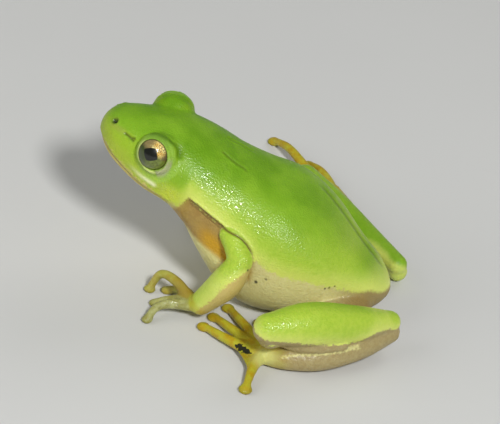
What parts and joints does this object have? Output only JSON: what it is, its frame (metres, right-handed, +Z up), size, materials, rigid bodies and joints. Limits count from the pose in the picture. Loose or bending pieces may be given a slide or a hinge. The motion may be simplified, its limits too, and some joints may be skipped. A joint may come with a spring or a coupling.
{
  "type": "tree frog model",
  "caption": "Life-size green tree frog sitting on its belly, legs folded, on round finger and toe discs, with large gold eyes.",
  "frame": {"origin": "on the floor under the belly, in the middle plane of the body, 26 mm behind the snout tip", "axes": "-Y is the way the frog faces, +X its left side, +Z up"},
  "size_m": [0.0589, 0.042, 0.0225],
  "materials": {
    "skin": "moist semi-gloss, lime green above, cream below",
    "eye": "polished, gold iris and black pupil"
  },
  "bodies": {
    "root": {"head": "skin", "left_eye": "eye", "left_finger_1": "skin", "left_finger_2": "skin", "left_finger_3": "skin", "left_finger_4": "skin", "left_foot": "skin", "left_forearm": "skin", "left_hand": "skin", "left_shank": "skin", "left_tarsus": "skin", "left_thigh": "skin", "left_toe_1": "skin", "left_toe_2": "skin", "left_toe_3": "skin", "left_toe_4": "skin", "left_toe_5": "skin", "left_upper_arm": "skin", "right_eye": "eye", "right_finger_1": "skin", "right_finger_2": "skin", "right_finger_3": "skin", "right_finger_4": "skin", "right_foot": "skin", "right_forearm": "skin", "right_hand": "skin", "right_shank": "skin", "right_tarsus": "skin", "right_thigh": "skin", "right_toe_1": "skin", "right_toe_2": "skin", "right_toe_3": "skin", "right_toe_4": "skin", "right_toe_5": "skin", "right_upper_arm": "skin", "trunk": "skin"}
  },
  "joints": []
}
